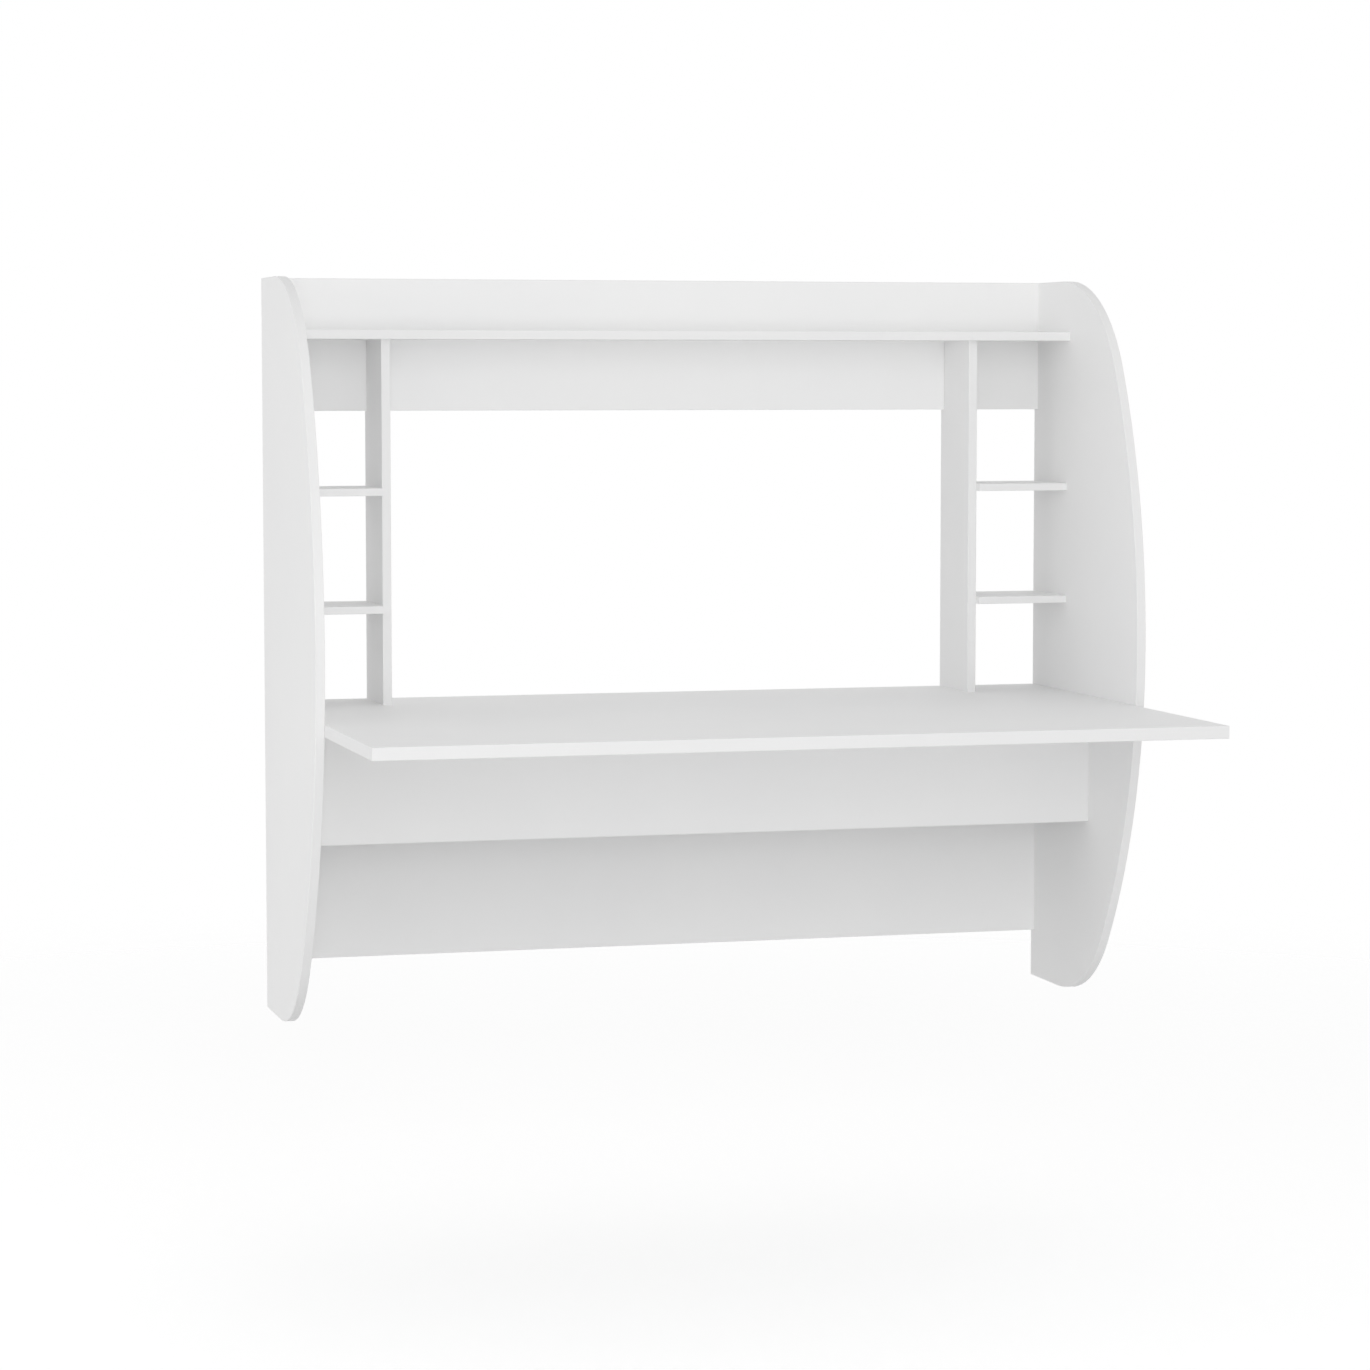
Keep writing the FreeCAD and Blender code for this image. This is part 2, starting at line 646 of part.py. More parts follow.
def top_shelf():
    body = new_body("top_shelf", (ZERO, ZERO, shelf_under))
    outline = sketch_on(body, "top_shelf_outline", "XY_Plane")
    front = -(size.shelf_depth - size.edging)
    draw_rectangle(outline, -inner_half, inner_half, front, -size.back_board)
    pad(body, outline, size.shelf_board)
    cams = [(line, size.cam_axis) for line in shelf_cam_ys]
    dowels = [(line, size.cam_axis) for line in shelf_dowel_ys]
    bore_board_ends(body, cams, dowels)
    drill(body, "top_shelf_cams", "XY_Plane", end_cam_points(shelf_cam_ys), size.cam_diameter, cam_height, 1)
    screws = [(across, size.cam_axis) for across in long_edge_xs]
    pilot_depth = size.shelf_screw - size.back_board + size.hole_end_room
    shank = size.board_screw_shank
    drill(body, "top_shelf_pilots", "XZ_Plane", screws, shank, pilot_depth, 1, size.back_board)
    drill(body, "top_shelf_dowels", "XY_Plane", divider_fixings, dowel_hole, dowel_face_depth, 1)
    edging_strip("top_shelf_edging", Z_AXIS, -Y_AXIS, size.shelf_board, inner_half * 2,
                 (-inner_half, front, shelf_under))
    return keep(body)


def divider(name, hand):
    centre = divider_centre * hand
    body = new_body(f"{name}_divider", (centre, ZERO, ZERO))
    front = -(size.divider_depth - size.edging)
    notch_front = -(size.back_board + size.notch_play)
    notch_bottom = rail_bottom - size.notch_play
    outline = sketch_on(body, f"{name}_divider_outline", "YZ_Plane", -size.divider_board / 2)
    draw_polygon(outline, [
        (ZERO, desktop_top),
        (ZERO, notch_bottom),
        (notch_front, notch_bottom),
        (notch_front, shelf_under),
        (front, shelf_under),
        (front, desktop_top),
    ])
    pad(body, outline, size.divider_board)
    fixings = [(ZERO, line) for line in divider_fixing_ys]
    pilot_depth = size.divider_screw - size.desktop_board + size.hole_end_room
    shank = size.board_screw_shank
    drill(body, f"{name}_divider_pilots", "XY_Plane", fixings, shank, pilot_depth, 1, desktop_top)
    drill(body, f"{name}_divider_dowels", "XY_Plane", fixings, dowel_hole, dowel_end_depth, -1, shelf_under)
    outer_face = size.divider_board / 2 * hand
    drill(body, f"{name}_divider_sockets", "YZ_Plane", cubby_dowels, dowel_hole, dowel_face_depth,
          -hand, outer_face)
    edging_strip(f"{name}_divider_edging", X_AXIS, -Y_AXIS, size.divider_board, shelf_under - desktop_top,
                 (centre - size.divider_board / 2, front, shelf_under))
    return keep(body)


def cubby_shelf(name, hand, storey):
    label = f"{name}_{storey}_cubby_shelf"
    level = cubby_levels[storey]
    body = new_body(label, (ZERO, ZERO, level))
    near, far = divider_outer_face * hand, inner_half * hand
    low, high = (near, far) if hand == RIGHT else (far, near)
    front = -(size.cubby_depth - size.edging)
    outline = sketch_on(body, f"{label}_outline", "XY_Plane")
    draw_rectangle(outline, low, high, front, ZERO)
    pad(body, outline, size.cubby_board)
    dowels = [(line, size.cubby_board / 2) for line in cubby_dowel_ys]
    drill(body, f"{label}_low_end", "YZ_Plane", dowels, dowel_hole, dowel_end_depth, 1, low)
    drill(body, f"{label}_high_end", "YZ_Plane", dowels, dowel_hole, dowel_end_depth, -1, high)
    edging_strip(f"{label}_edging", Z_AXIS, -Y_AXIS, size.cubby_board, high - low, (low, front, level))
    return keep(body)


# Keyhole hangers


def hanger(name, across):
    body = new_body(f"{name}_keyhole_hanger", (across, ZERO, hanger_level))
    low, high = hanger_screw_heights()
    outline = sketch_on(body, f"{name}_hanger_outline", "XZ_Plane")
    draw_upright_slot(outline, ZERO, low, high, size.hanger_width)
    thickness = size.hanger_plate
    pad(body, outline, thickness)
    entry, seat = keyhole_heights()
    drill(body, f"{name}_keyhole_entry", "XZ_Plane", [(ZERO, entry)], size.keyhole_entry, thickness, 1)
    slot = sketch_on(body, f"{name}_keyhole_slot", "XZ_Plane")
    draw_upright_slot(slot, ZERO, entry, seat, size.keyhole_slot)
    cut(body, slot, thickness, 1)
    screws = [(ZERO, rise) for rise in (low, high)]
    shank, head = size.hanger_screw_shank, size.hanger_screw_head
    drill(body, f"{name}_hanger_holes", "XZ_Plane", screws, shank, thickness, 1)
    countersink(body, f"{name}_hanger_seats", "XZ_Plane", screws, head, shank, 1)
    return keep(body)


# Fasteners: one pattern piece of each, then a group at all its places


def turned_piece(label, profile):
    body = new_body(label)
    sketch = sketch_on(body, f"{label}_profile", "XZ_Plane")
    draw_polygon(sketch, profile)
    revolve(body, sketch)
    return body


def cut_drive(body, reach):
    slots = sketch_on(body, f"{body.Name}_drive", "XY_Plane")
    draw_cross(slots, reach, size.drive_slot)
    cut(body, slots, size.drive_depth, -1)


def countersunk_screw(label, length, shank, head):
    """The head is flush at z = 0 and the shank points down."""
    half_shank, half_head = shank / 2, head / 2
    seat = half_head - half_shank
    body = turned_piece(label, [
        (ZERO, ZERO),
        (ZERO, -length),
        (half_shank, -(length - shank)),
        (half_shank, -seat),
        (half_head, ZERO),
    ])
    cut_drive(body, shank * 1.1)
    return body


def cam_lock():
    """Its slotted face is at z = 0; the bolt comes in along -X."""
    body = new_body("cam_lock_pattern")
    outline = sketch_on(body, "cam_lock_outline", "XY_Plane")
    draw_circles(outline, [(ZERO, ZERO)], size.cam_diameter - size.fitting_play * 2)
    pad(body, outline, cam_height, -1)
    past_centre = size.bolt_head / 2 + size.hole_end_room
    bore = size.bolt_diameter + size.fitting_play * 4
    drill(body, "cam_lock_bore", "YZ_Plane", [(ZERO, -size.cam_axis)], bore,
          size.cam_diameter / 2 + past_centre, -1, size.cam_diameter / 2)
    cut_drive(body, size.cam_diameter * 0.7)
    return body


def cam_bolt():
    """Its thread is below z = 0, in the other board; its head is in the cam."""
    half, neck = size.bolt_diameter / 2, size.bolt_neck / 2
    head_start = size.cam_set_in - size.bolt_head / 2
    head_end = size.cam_set_in + size.bolt_head / 2
    neck_start = head_start - size.bolt_head
    return turned_piece("cam_bolt_pattern", [
        (ZERO, -size.bolt_bite),
        (half, -size.bolt_bite),
        (half, neck_start),
        (neck, neck_start),
        (neck, head_start),
        (half, head_start),
        (half, head_end),
        (ZERO, head_end),
    ])


def dowel():
    """It sticks out of the other board's face, which is at z = 0."""
    half, chamfer = size.dowel_diameter / 2, size.dowel_chamfer
    low, high = -size.dowel_bite, size.dowel_length - size.dowel_bite
    return turned_piece("dowel_pattern", [
        (ZERO, low),
        (half - chamfer, low),
        (half, low + chamfer),
        (half, high - chamfer),
        (half - chamfer, high),
        (ZERO, high),
    ])


def turned_to(direction, roll=None):
    """The rotation that takes local Z to the direction, and local X to the roll."""
    if roll is None:
        return FreeCAD.Rotation(Z_AXIS, direction)
    return FreeCAD.Rotation(roll, direction.cross(roll), direction, "XYZ")


def moved(point, way, distance):
    """A point of three sizes, shifted along a unit vector."""
    return tuple(length + distance * share if share else length for length, share in zip(point, way))


def cam_joints():
    """Every cam joint: where its bolt leaves, its way, and the cam's open face."""
    joints = []
    for hand in (LEFT, RIGHT):
        end, inward = inner_half * hand, X_AXIS * -hand
        joints += [((end, *point), inward, -Z_AXIS) for point in cams_open_down]
        joints += [((end, *point), inward, Y_AXIS) for point in cams_open_back]
    for line in (back_line, apron_line):
        joints += [((across, line, desktop_under), -Z_AXIS, Y_AXIS) for across in long_edge_xs]
    return joints


def cam_lock_places():
    places = []
    for start, way, open_face in cam_joints():
        middle = moved(start, way, size.cam_set_in)
        places.append((moved(middle, open_face, size.cam_axis), turned_to(open_face, -way)))
    return places


def cam_bolt_places():
    return [(start, turned_to(way)) for start, way, _ in cam_joints()]


def dowel_places():
    places = [((*point, shelf_under), turned_to(-Z_AXIS)) for point in divider_fixings]
    for hand in (LEFT, RIGHT):
        inward = X_AXIS * -hand
        places += [((inner_half * hand, *point), turned_to(inward)) for point in end_dowels + cubby_dowels]
        places += [((divider_outer_face * hand, *point), turned_to(-inward)) for point in cubby_dowels]
    return places


def divider_screw_places():
    return [((*point, desktop_under), turned_to(-Z_AXIS)) for point in divider_fixings]


def shelf_screw_places():
    return [((across, ZERO, shelf_line), turned_to(Y_AXIS)) for across in long_edge_xs]


def hanger_screw_places():
    return [((across, ZERO, hanger_level + rise), turned_to(Y_AXIS))
            for across in hanger_centres for rise in hanger_screw_heights()]


def group(label, pattern, places):
    """Linked copies of one fastener, kept as separate solids under one name."""
    copies = []
    for number, (point, rotation) in enumerate(places, 1):
        copy = document.addObject("App::Link", f"{label}_{number}")
        copy.LinkedObject = pattern
        place(copy, point, rotation)
        copies.append(copy)
    compound = document.addObject("Part::Compound", label)
    compound.Label = label
    compound.Links = copies
    keep(compound)


def fasteners():
    board_screw = (size.board_screw_shank, size.board_screw_head)
    hanger_screw = (size.hanger_screw_shank, size.hanger_screw_head)
    divider_screw = countersunk_screw("divider_screw_pattern", size.divider_screw, *board_screw)
    shelf_screw = countersunk_screw("shelf_screw_pattern", size.shelf_screw, *board_screw)
    plate_screw = countersunk_screw("hanger_screw_pattern", size.hanger_screw, *hanger_screw)
    group("cam_locks", cam_lock(), cam_lock_places())
    group("cam_bolts", cam_bolt(), cam_bolt_places())
    group("dowels", dowel(), dowel_places())
    group("divider_screws", divider_screw, divider_screw_places())
    group("shelf_screws", shelf_screw, shelf_screw_places())
    group("hanger_screws", plate_screw, hanger_screw_places())


def check_model():
    """Stop before anything is written if a feature failed or cut nothing."""
    for item in document.Objects:
        if "Invalid" in item.State or "Error" in item.State:
            raise RuntimeError(f"{item.Label} failed: {item.State}")
        if item.TypeId == "PartDesign::Pocket" and item.BaseFeature.Shape.Volume <= item.Shape.Volume:
            raise RuntimeError(f"{item.Label} cuts nothing")
    for item in sub_parts:
        if item.Shape.isNull() or not item.Shape.isValid():
            raise RuntimeError(f"{item.Label} has no valid shape")


for hand_name, hand_sign in HANDS.items():
    side(hand_name, hand_sign)
    side_edging(hand_name, hand_sign)
desktop()
desktop_edgings()
rail()
lower_panel()
apron()
upright_edgings()
top_shelf()
for hand_name, hand_sign in HANDS.items():
    divider(hand_name, hand_sign)
    for storey_name in cubby_levels:
        cubby_shelf(hand_name, hand_sign, storey_name)
for hand_name, hanger_centre in zip(("left", "right"), hanger_centres):
    hanger(hand_name, hanger_centre)
fasteners()
document.recompute()
check_model()
os.makedirs("parts", exist_ok=True)
for sub_part in sub_parts:
    sub_part.Shape.exportStep(f"parts/{sub_part.Label}.step")
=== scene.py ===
import math

import bpy
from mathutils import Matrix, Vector


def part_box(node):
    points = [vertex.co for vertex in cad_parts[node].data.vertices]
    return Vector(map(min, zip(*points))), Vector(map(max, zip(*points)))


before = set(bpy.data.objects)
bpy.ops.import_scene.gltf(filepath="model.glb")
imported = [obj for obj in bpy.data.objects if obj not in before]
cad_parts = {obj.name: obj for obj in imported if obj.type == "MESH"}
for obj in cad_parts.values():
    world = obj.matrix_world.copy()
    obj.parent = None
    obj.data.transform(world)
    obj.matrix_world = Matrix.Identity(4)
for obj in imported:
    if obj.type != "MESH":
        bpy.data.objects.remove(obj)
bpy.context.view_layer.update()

# Camera, matched to the photograph: place in metres, angles in degrees, lens in millimetres.
CAMERA_PLACE = (-1.39430, -5.15733, 0.53019)
CAMERA_TURN = -15.4473
CAMERA_DIP = -4.5042
CAMERA_LEVEL = 90.0
CAMERA_LENS = 102.83
SENSOR_WIDTH = 36.0

# The desktop's upper face is at 0.100 m, so a floor here gives a sitting height of 0.75 m.
FLOOR_LEVEL = -0.65
FLOOR_HALF_WIDTH = 9.0
FLOOR_COLOUR = (0.80, 0.80, 0.80, 1.0)
FLOOR_LIFT = 0.39
# The floor runs out into the white room between these level distances from the desk, in metres.
FLOOR_FADE_START, FLOOR_FADE_END = 1.6, 3.6
ON_THE_LEVEL = (1.0, 1.0, 0.0)

# Light: a pale room, a little brighter to the right, and soft boxes in front and at the left.
ROOM_LIGHT = 0.64
ROOM_RIGHT_LIGHT = 0.27
ROOM_RIGHT = (1.0, 0.0, 0.0)
ROOM_WHITE = 1.0
ROOM_COLOUR = (1.0, 1.0, 1.0, 1.0)
DESK_MIDDLE = (0.0, -0.3, 0.1)
LEFT_SIDE_MIDDLE = (-0.5, -0.2, 0.2)
SOFT_BOXES = (
    # name, place, aimed at, width, height, watts
    ("front_low_soft_box", (-1.0, -5.6, 0.1), DESK_MIDDLE, 1.4, 0.9, 32.0),
    ("front_middle_soft_box", (-1.0, -5.6, 1.1), DESK_MIDDLE, 1.4, 0.9, 17.0),
    ("front_high_soft_box", (-1.0, -5.6, 2.1), DESK_MIDDLE, 1.4, 0.9, 17.0),
    ("left_soft_box", (-4.8, -1.2, 0.6), LEFT_SIDE_MIDDLE, 3.0, 2.2, 36.0),
)

# Finishes. Colours are as the material is, in linear light.
LAMINATE_WHITE = (0.915, 0.915, 0.913, 1.0)
LAMINATE_WHITE_COOL = (0.902, 0.903, 0.904, 1.0)
EDGING_WHITE = (0.868, 0.868, 0.866, 1.0)
EDGING_WHITE_COOL = (0.855, 0.856, 0.857, 1.0)
GLUE_LINE = (0.545, 0.535, 0.515, 1.0)
CHIP_PALE = (0.560, 0.410, 0.255, 1.0)
CHIP_MIDDLE = (0.400, 0.265, 0.145, 1.0)
CHIP_DARK = (0.185, 0.110, 0.055, 1.0)
ZINC_BRIGHT = (0.520, 0.534, 0.556, 1.0)
ZINC_DULL = (0.350, 0.360, 0.376, 1.0)
CASTING_GREY = (0.440, 0.442, 0.448, 1.0)
CASTING_DARK = (0.300, 0.302, 0.308, 1.0)
BEECH_PALE = (0.640, 0.430, 0.250, 1.0)
BEECH_DARK = (0.430, 0.255, 0.130, 1.0)
BEECH_FLECK = (0.300, 0.160, 0.075, 1.0)

# The way a board lies, by the axis that it is thinnest along: X, Y or Z.
BOARD_LIES = ("upright_end", "back", "level")
# Where a board is white: 1 on each axis that a finished face looks along, and bare core elsewhere.
# A shelf's ends are finished too, as they show beyond the dividers.
FINISHED_FACES = {
    "upright_end": (1.0, 0.0, 0.0),
    "back": (0.0, 1.0, 0.0),
    "level": (1.0, 0.0, 1.0),
}
# The way a board's chips lie: 1 on the axis square to its laminated faces.
CHIP_LAY = {
    "upright_end": (1.0, 0.0, 0.0),
    "back": (0.0, 1.0, 0.0),
    "level": (0.0, 0.0, 1.0),
}

# The way a straight edging runs, by the axis that it is longest along: X, Y or Z.
EDGING_RUNS = ("along_width", "along_depth", "upright")
SIDE_EDGINGS = ("left_side_edging", "right_side_edging")
# The axes that lie across each run, which its scrape lines are narrow on.
ACROSS_EDGING = {
    "round_sides": (True, False, False),
    "along_width": (False, True, True),
    "along_depth": (True, False, True),
    "upright": (True, True, False),
}

HARDWARE = {
    "cam_locks": "zinc_die_casting",
    "cam_bolts": "zinc_plated_steel",
    "divider_screws": "zinc_plated_steel",
    "shelf_screws": "zinc_plated_steel",
    "hanger_screws": "zinc_plated_steel",
    "left_keyhole_hanger": "zinc_plated_steel",
    "right_keyhole_hanger": "zinc_plated_steel",
    "dowels": "beech_dowel",
}

# Nearly all of a noise lies between these two values.
NOISE_LOW, NOISE_HIGH = 0.3, 0.7
# A mix node has sockets for each kind of value: numbers of its first input, second and result.
MIX_SOCKETS = {"RGBA": (6, 7, 2), "FLOAT": (2, 3, 0)}
# Vector operations that give a number.
NUMBER_FROM_VECTORS = ("DOT_PRODUCT", "LENGTH")


class Wiring:
    """Adds nodes to one node tree. A socket given as a value is linked, the rest is typed in."""

    def __init__(self, tree):
        self.tree = tree

    def put(self, socket, value):
        if isinstance(value, bpy.types.NodeSocket):
            self.tree.links.new(value, socket)
        else:
            socket.default_value = value

    def node(self, kind, inputs=(), **settings):
        made = self.tree.nodes.new("ShaderNode" + kind)
        for key, value in settings.items():
            setattr(made, key, value)
        for key, value in dict(inputs).items():
            self.put(made.inputs[key], value)
        return made

    def sums(self, operation, *values):
        return self.node("Math", enumerate(values), operation=operation).outputs[0]

    def vector(self, operation, *values):
        made = self.node("VectorMath", enumerate(values), operation=operation)
        return made.outputs["Value" if operation in NUMBER_FROM_VECTORS else "Vector"]

    def noise(self, place, scale, detail, roughness):
        inputs = {"Vector": place, "Scale": scale, "Detail": detail, "Roughness": roughness}
        return self.node("TexNoise", inputs).outputs["Fac"]

    def spread(self, value, low, high, to_low=0.0, to_high=1.0, **settings):
        inputs = {"Value": value, "From Min": low, "From Max": high}
        inputs.update({"To Min": to_low, "To Max": to_high})
        return self.node("MapRange", inputs, **settings).outputs["Result"]

    def blend(self, share, first, second, kind="RGBA"):
        first_at, second_at, result_at = MIX_SOCKETS[kind]
        inputs = {"Factor": share, first_at: first, second_at: second}
        return self.node("Mix", inputs, data_type=kind).outputs[result_at]

    def part(self, value, share):
        return self.sums("MULTIPLY", value, share)

    def mixed(self, first, first_share, second, second_share):
        return self.sums("ADD", self.part(first, first_share), self.part(second, second_share))

    def patches(self, cloud, cover, start, reach, fade):
        """Patches of a noise: more of it shows as cover grows, each with a soft border."""
        border = self.sums("SUBTRACT", start, self.part(cover, reach))
        return self.spread(cloud, border, self.sums("ADD", border, fade))

    def place(self):
        return self.node("TexCoord").outputs["Object"]

    def bump(self, height, depth, strength, **under):
        inputs = {"Height": height, "Distance": depth, "Strength": strength, **under}
        return self.node("Bump", inputs).outputs["Normal"]

    def group(self, tree, **inputs):
        made = self.tree.nodes.new("ShaderNodeGroup")
        made.node_tree = tree
        for key, value in inputs.items():
            self.put(made.inputs[key.replace("_", " ")], value)
        return made.outputs


def effect(name, inputs, outputs):
    """A node group with named sockets: its tree, wiring and inputs, and how to set an output."""
    tree = bpy.data.node_groups.new(name, "ShaderNodeTree")
    sockets = tree.interface
    for label, kind, value in inputs:
        socket = sockets.new_socket(name=label, in_out="INPUT", socket_type="NodeSocket" + kind)
        socket.default_value = value
    for label, kind in outputs:
        sockets.new_socket(name=label, in_out="OUTPUT", socket_type="NodeSocket" + kind)
    given = tree.nodes.new("NodeGroupInput").outputs
    result = tree.nodes.new("NodeGroupOutput").inputs

    def give(label, socket):
        tree.links.new(socket, result[label])

    return tree, Wiring(tree), given, give


# Fine pearls to each coarse one along a line, and the height that they add.
FINE_PEARL_TIMES = 3.7
FINE_PEARL_HEIGHT = 0.35
# Sheen changes in slow patches, and a little from pearl to pearl.
SHEEN_PATCHES_PER_METRE = 5.0
SHEEN_FROM_PATCHES, SHEEN_FROM_PEARL = 0.75, 0.25


def make_pressed_pearl():
    """The fine pearl that a press plate or calender leaves in white melamine and edging."""
    tree, w, given, give = effect(
        "pressed_pearl",
        [("Pearls Per Metre", "Float", 900.0),
         ("Sheen Low", "Float", 0.4), ("Sheen High", "Float", 0.5)],
        [("Height", "Float"), ("Roughness", "Float")],
    )
    place = w.place()
    pearl = w.noise(place, given["Pearls Per Metre"], detail=3.0, roughness=0.55)
    fine_per_metre = w.sums("MULTIPLY", given["Pearls Per Metre"], FINE_PEARL_TIMES)
    fine = w.noise(place, fine_per_metre, detail=1.0, roughness=0.5)
    give("Height", w.sums("MULTIPLY_ADD", fine, FINE_PEARL_HEIGHT, pearl))
    slow = w.noise(place, SHEEN_PATCHES_PER_METRE, detail=3.0, roughness=0.6)
    uneven = w.mixed(slow, SHEEN_FROM_PATCHES, pearl, SHEEN_FROM_PEARL)
    low, high = given["Sheen Low"], given["Sheen High"]
    give("Roughness", w.spread(uneven, NOISE_LOW, NOISE_HIGH, low, high))
    return tree


# The part of the noise over which one tone goes into the other.
DRIFT_LOW, DRIFT_HIGH = 0.35, 0.65


def make_tone_drift():
    """The slow change of tone over a surface, as no sheet, plating or casting is quite even."""
    tree, w, given, give = effect(
        "tone_drift",
        [("Warm", "Color", LAMINATE_WHITE), ("Cool", "Color", LAMINATE_WHITE_COOL),
         ("Patches Per Metre", "Float", 3.0)],
        [("Colour", "Color")],
    )
    slow = w.noise(w.place(), given["Patches Per Metre"], detail=4.0, roughness=0.6)
    give("Colour", w.blend(w.spread(slow, DRIFT_LOW, DRIFT_HIGH), given["Warm"], given["Cool"]))
    return tree


# Clouds from hands and streaks from cloths: how each is drawn out along X, Y and Z, and its share.
HAND_STRETCH, HAND_SHARE = (1.0, 1.6, 0.7), 0.7
CLOTH_STRETCH, CLOTH_SHARE = (0.4, 3.0, 3.0), 0.3
CLOTH_STREAKS_PER_METRE = 60.0
# A mark starts at this height of the noise, lower by the reach at full cover, and fades in.
MARK_START, MARK_REACH, MARK_FADE = 0.72, 0.3, 0.16


def make_hand_marks():
    """Faint rubbed patches where hands and cloths have been."""
    tree, w, given, give = effect(
        "hand_marks",
        [("Marks Per Metre", "Float", 14.0), ("Cover", "Float", 0.4)],
        [("Marks", "Float")],
    )
    place = w.place()
    by_hand = w.vector("MULTIPLY", place, HAND_STRETCH)
    clouds = w.noise(by_hand, given["Marks Per Metre"], detail=5.0, roughness=0.65)
    by_cloth = w.vector("MULTIPLY", place, CLOTH_STRETCH)
    streaks = w.noise(by_cloth, CLOTH_STREAKS_PER_METRE, detail=2.0, roughness=0.5)
    rubbed = w.mixed(clouds, HAND_SHARE, streaks, CLOTH_SHARE)
    give("Marks", w.patches(rubbed, given["Cover"], MARK_START, MARK_REACH, MARK_FADE))
    return tree


# How far the rounded normal has turned where a corner starts and where it is full.
CORNER_START, CORNER_FULL = 0.02, 0.25
CORNER_SAMPLES = 6
# A nick starts at this height of the noise, lower by the reach at full cover, and fades in.
NICK_START, NICK_REACH, NICK_FADE = 0.78, 0.4, 0.12


def make_edge_scuff():
    """Broken wear along corners, found by how far a rounded normal leaves the true one."""
    tree, w, given, give = effect(
        "edge_scuff",
        [("Reach", "Float", 0.0012), ("Nicks Per Metre", "Float", 160.0), ("Cover", "Float", 0.5)],
        [("Wear", "Float")],
    )
    rounded = w.node("Bevel", {"Radius": given["Reach"]}, samples=CORNER_SAMPLES).outputs["Normal"]
    true = w.node("NewGeometry").outputs["True Normal"]
    turn = w.sums("SUBTRACT", 1.0, w.vector("DOT_PRODUCT", rounded, true))
    corner = w.spread(turn, CORNER_START, CORNER_FULL)
    nicks = w.noise(w.place(), given["Nicks Per Metre"], detail=4.0, roughness=0.7)
    broken = w.patches(nicks, given["Cover"], NICK_START, NICK_REACH, NICK_FADE)
    give("Wear", w.sums("MULTIPLY", corner, broken))
    return tree


# A face looks along an axis when its normal is at least this much in line with it.
IN_LINE = 0.9
# Chips are flatter than they are long by this much more than 1, and waver by so many metres.
CHIP_FLATNESS = 2.2
CHIP_WAVERS_PER_METRE, CHIP_WAVER = 90.0, 0.004
# The distance from a chip's middle over which it goes into the glue between the chips.
CHIP_RIM_START, CHIP_RIM_END = 0.35, 0.75
GLUE_SHARE = 0.75
SAW_DUST_PER_METRE = 1500.0
CHIP_TONE_SHARE, DUST_TONE_SHARE = 0.8, 0.2
CHIP_HEIGHT_SHARE, DUST_HEIGHT_SHARE, GLUE_SINKING = 0.6, 0.4, 0.7


def make_chip_core():
    """Bare particle board: where it shows, flat chips along the faces and dark glue between."""
    tree, w, given, give = effect(
        "chip_core",
        [("Finished", "Vector", (0.0, 0.0, 1.0)), ("Lay", "Vector", (0.0, 0.0, 1.0)),
         ("Chips Per Metre", "Float", 260.0)],
        [("Core", "Float"), ("Colour", "Color"), ("Height", "Float")],
    )
    true = w.node("NewGeometry").outputs["True Normal"]
    square_on = w.vector("MULTIPLY", w.vector("ABSOLUTE", true), given["Finished"])
    along = w.node("SeparateXYZ", {0: square_on}).outputs
    nearest = w.sums("MAXIMUM", w.sums("MAXIMUM", along["X"], along["Y"]), along["Z"])
    give("Core", w.sums("LESS_THAN", nearest, IN_LINE))
    place = w.place()
    flatter = w.vector("MULTIPLY_ADD", given["Lay"], (CHIP_FLATNESS,) * 3, (1.0, 1.0, 1.0))
    waver_noise = {"Vector": place, "Scale": CHIP_WAVERS_PER_METRE, "Detail": 2.0}
    wavering = w.node("TexNoise", waver_noise).outputs["Color"]
    shifted = w.vector("MULTIPLY_ADD", wavering, (CHIP_WAVER,) * 3, place)
    laid = w.vector("MULTIPLY", shifted, flatter)
    per_metre = given["Chips Per Metre"]
    chips = w.node("TexVoronoi", {"Vector": laid, "Scale": per_metre, "Randomness": 1.0})
    shade = w.node("SeparateColor", {"Color": chips.outputs["Color"]}).outputs["Red"]
    glue = w.spread(chips.outputs["Distance"], CHIP_RIM_START, CHIP_RIM_END)
    dust = w.noise(place, SAW_DUST_PER_METRE, detail=2.0, roughness=0.6)
    ramp = w.node("ValToRGB", {"Fac": w.mixed(shade, CHIP_TONE_SHARE, dust, DUST_TONE_SHARE)})
    ramp.color_ramp.elements[0].color = CHIP_MIDDLE
    ramp.color_ramp.elements[1].color = CHIP_PALE
    give("Colour", w.blend(w.part(glue, GLUE_SHARE), ramp.outputs["Color"], CHIP_DARK))
    height = w.mixed(shade, CHIP_HEIGHT_SHARE, dust, DUST_HEIGHT_SHARE)
    give("Height", w.sums("SUBTRACT", height, w.part(glue, GLUE_SINKING)))
    return tree


PRESSED_PEARL = make_pressed_pearl()
TONE_DRIFT = make_tone_drift()
HAND_MARKS = make_hand_marks()
EDGE_SCUFF = make_edge_scuff()
CHIP_CORE = make_chip_core()


def finish_of(name, **constants):
    """A new material with a Principled shader: the material, its wiring and the shader's inputs."""
    made = bpy.data.materials.new(name)
    made.use_nodes = True
    made.node_tree.nodes.clear()
    w = Wiring(made.node_tree)
    shader = w.node("BsdfPrincipled")
    w.node("OutputMaterial", {"Surface": shader.outputs["BSDF"]})
    for key, value in constants.items():
        shader.inputs[key.replace("_", " ")].default_value = value
    return made, w, shader.inputs


# How much glue line shows at a worn corner, and how much a rub takes off the roughness.
LAMINATE_WEAR, LAMINATE_RUB = 0.35, 0.05
CORE_ROUGHNESS = 0.92
LAMINATE_PEARL_DEPTH = 0.00002
CHIP_DEPTH = 0.0005


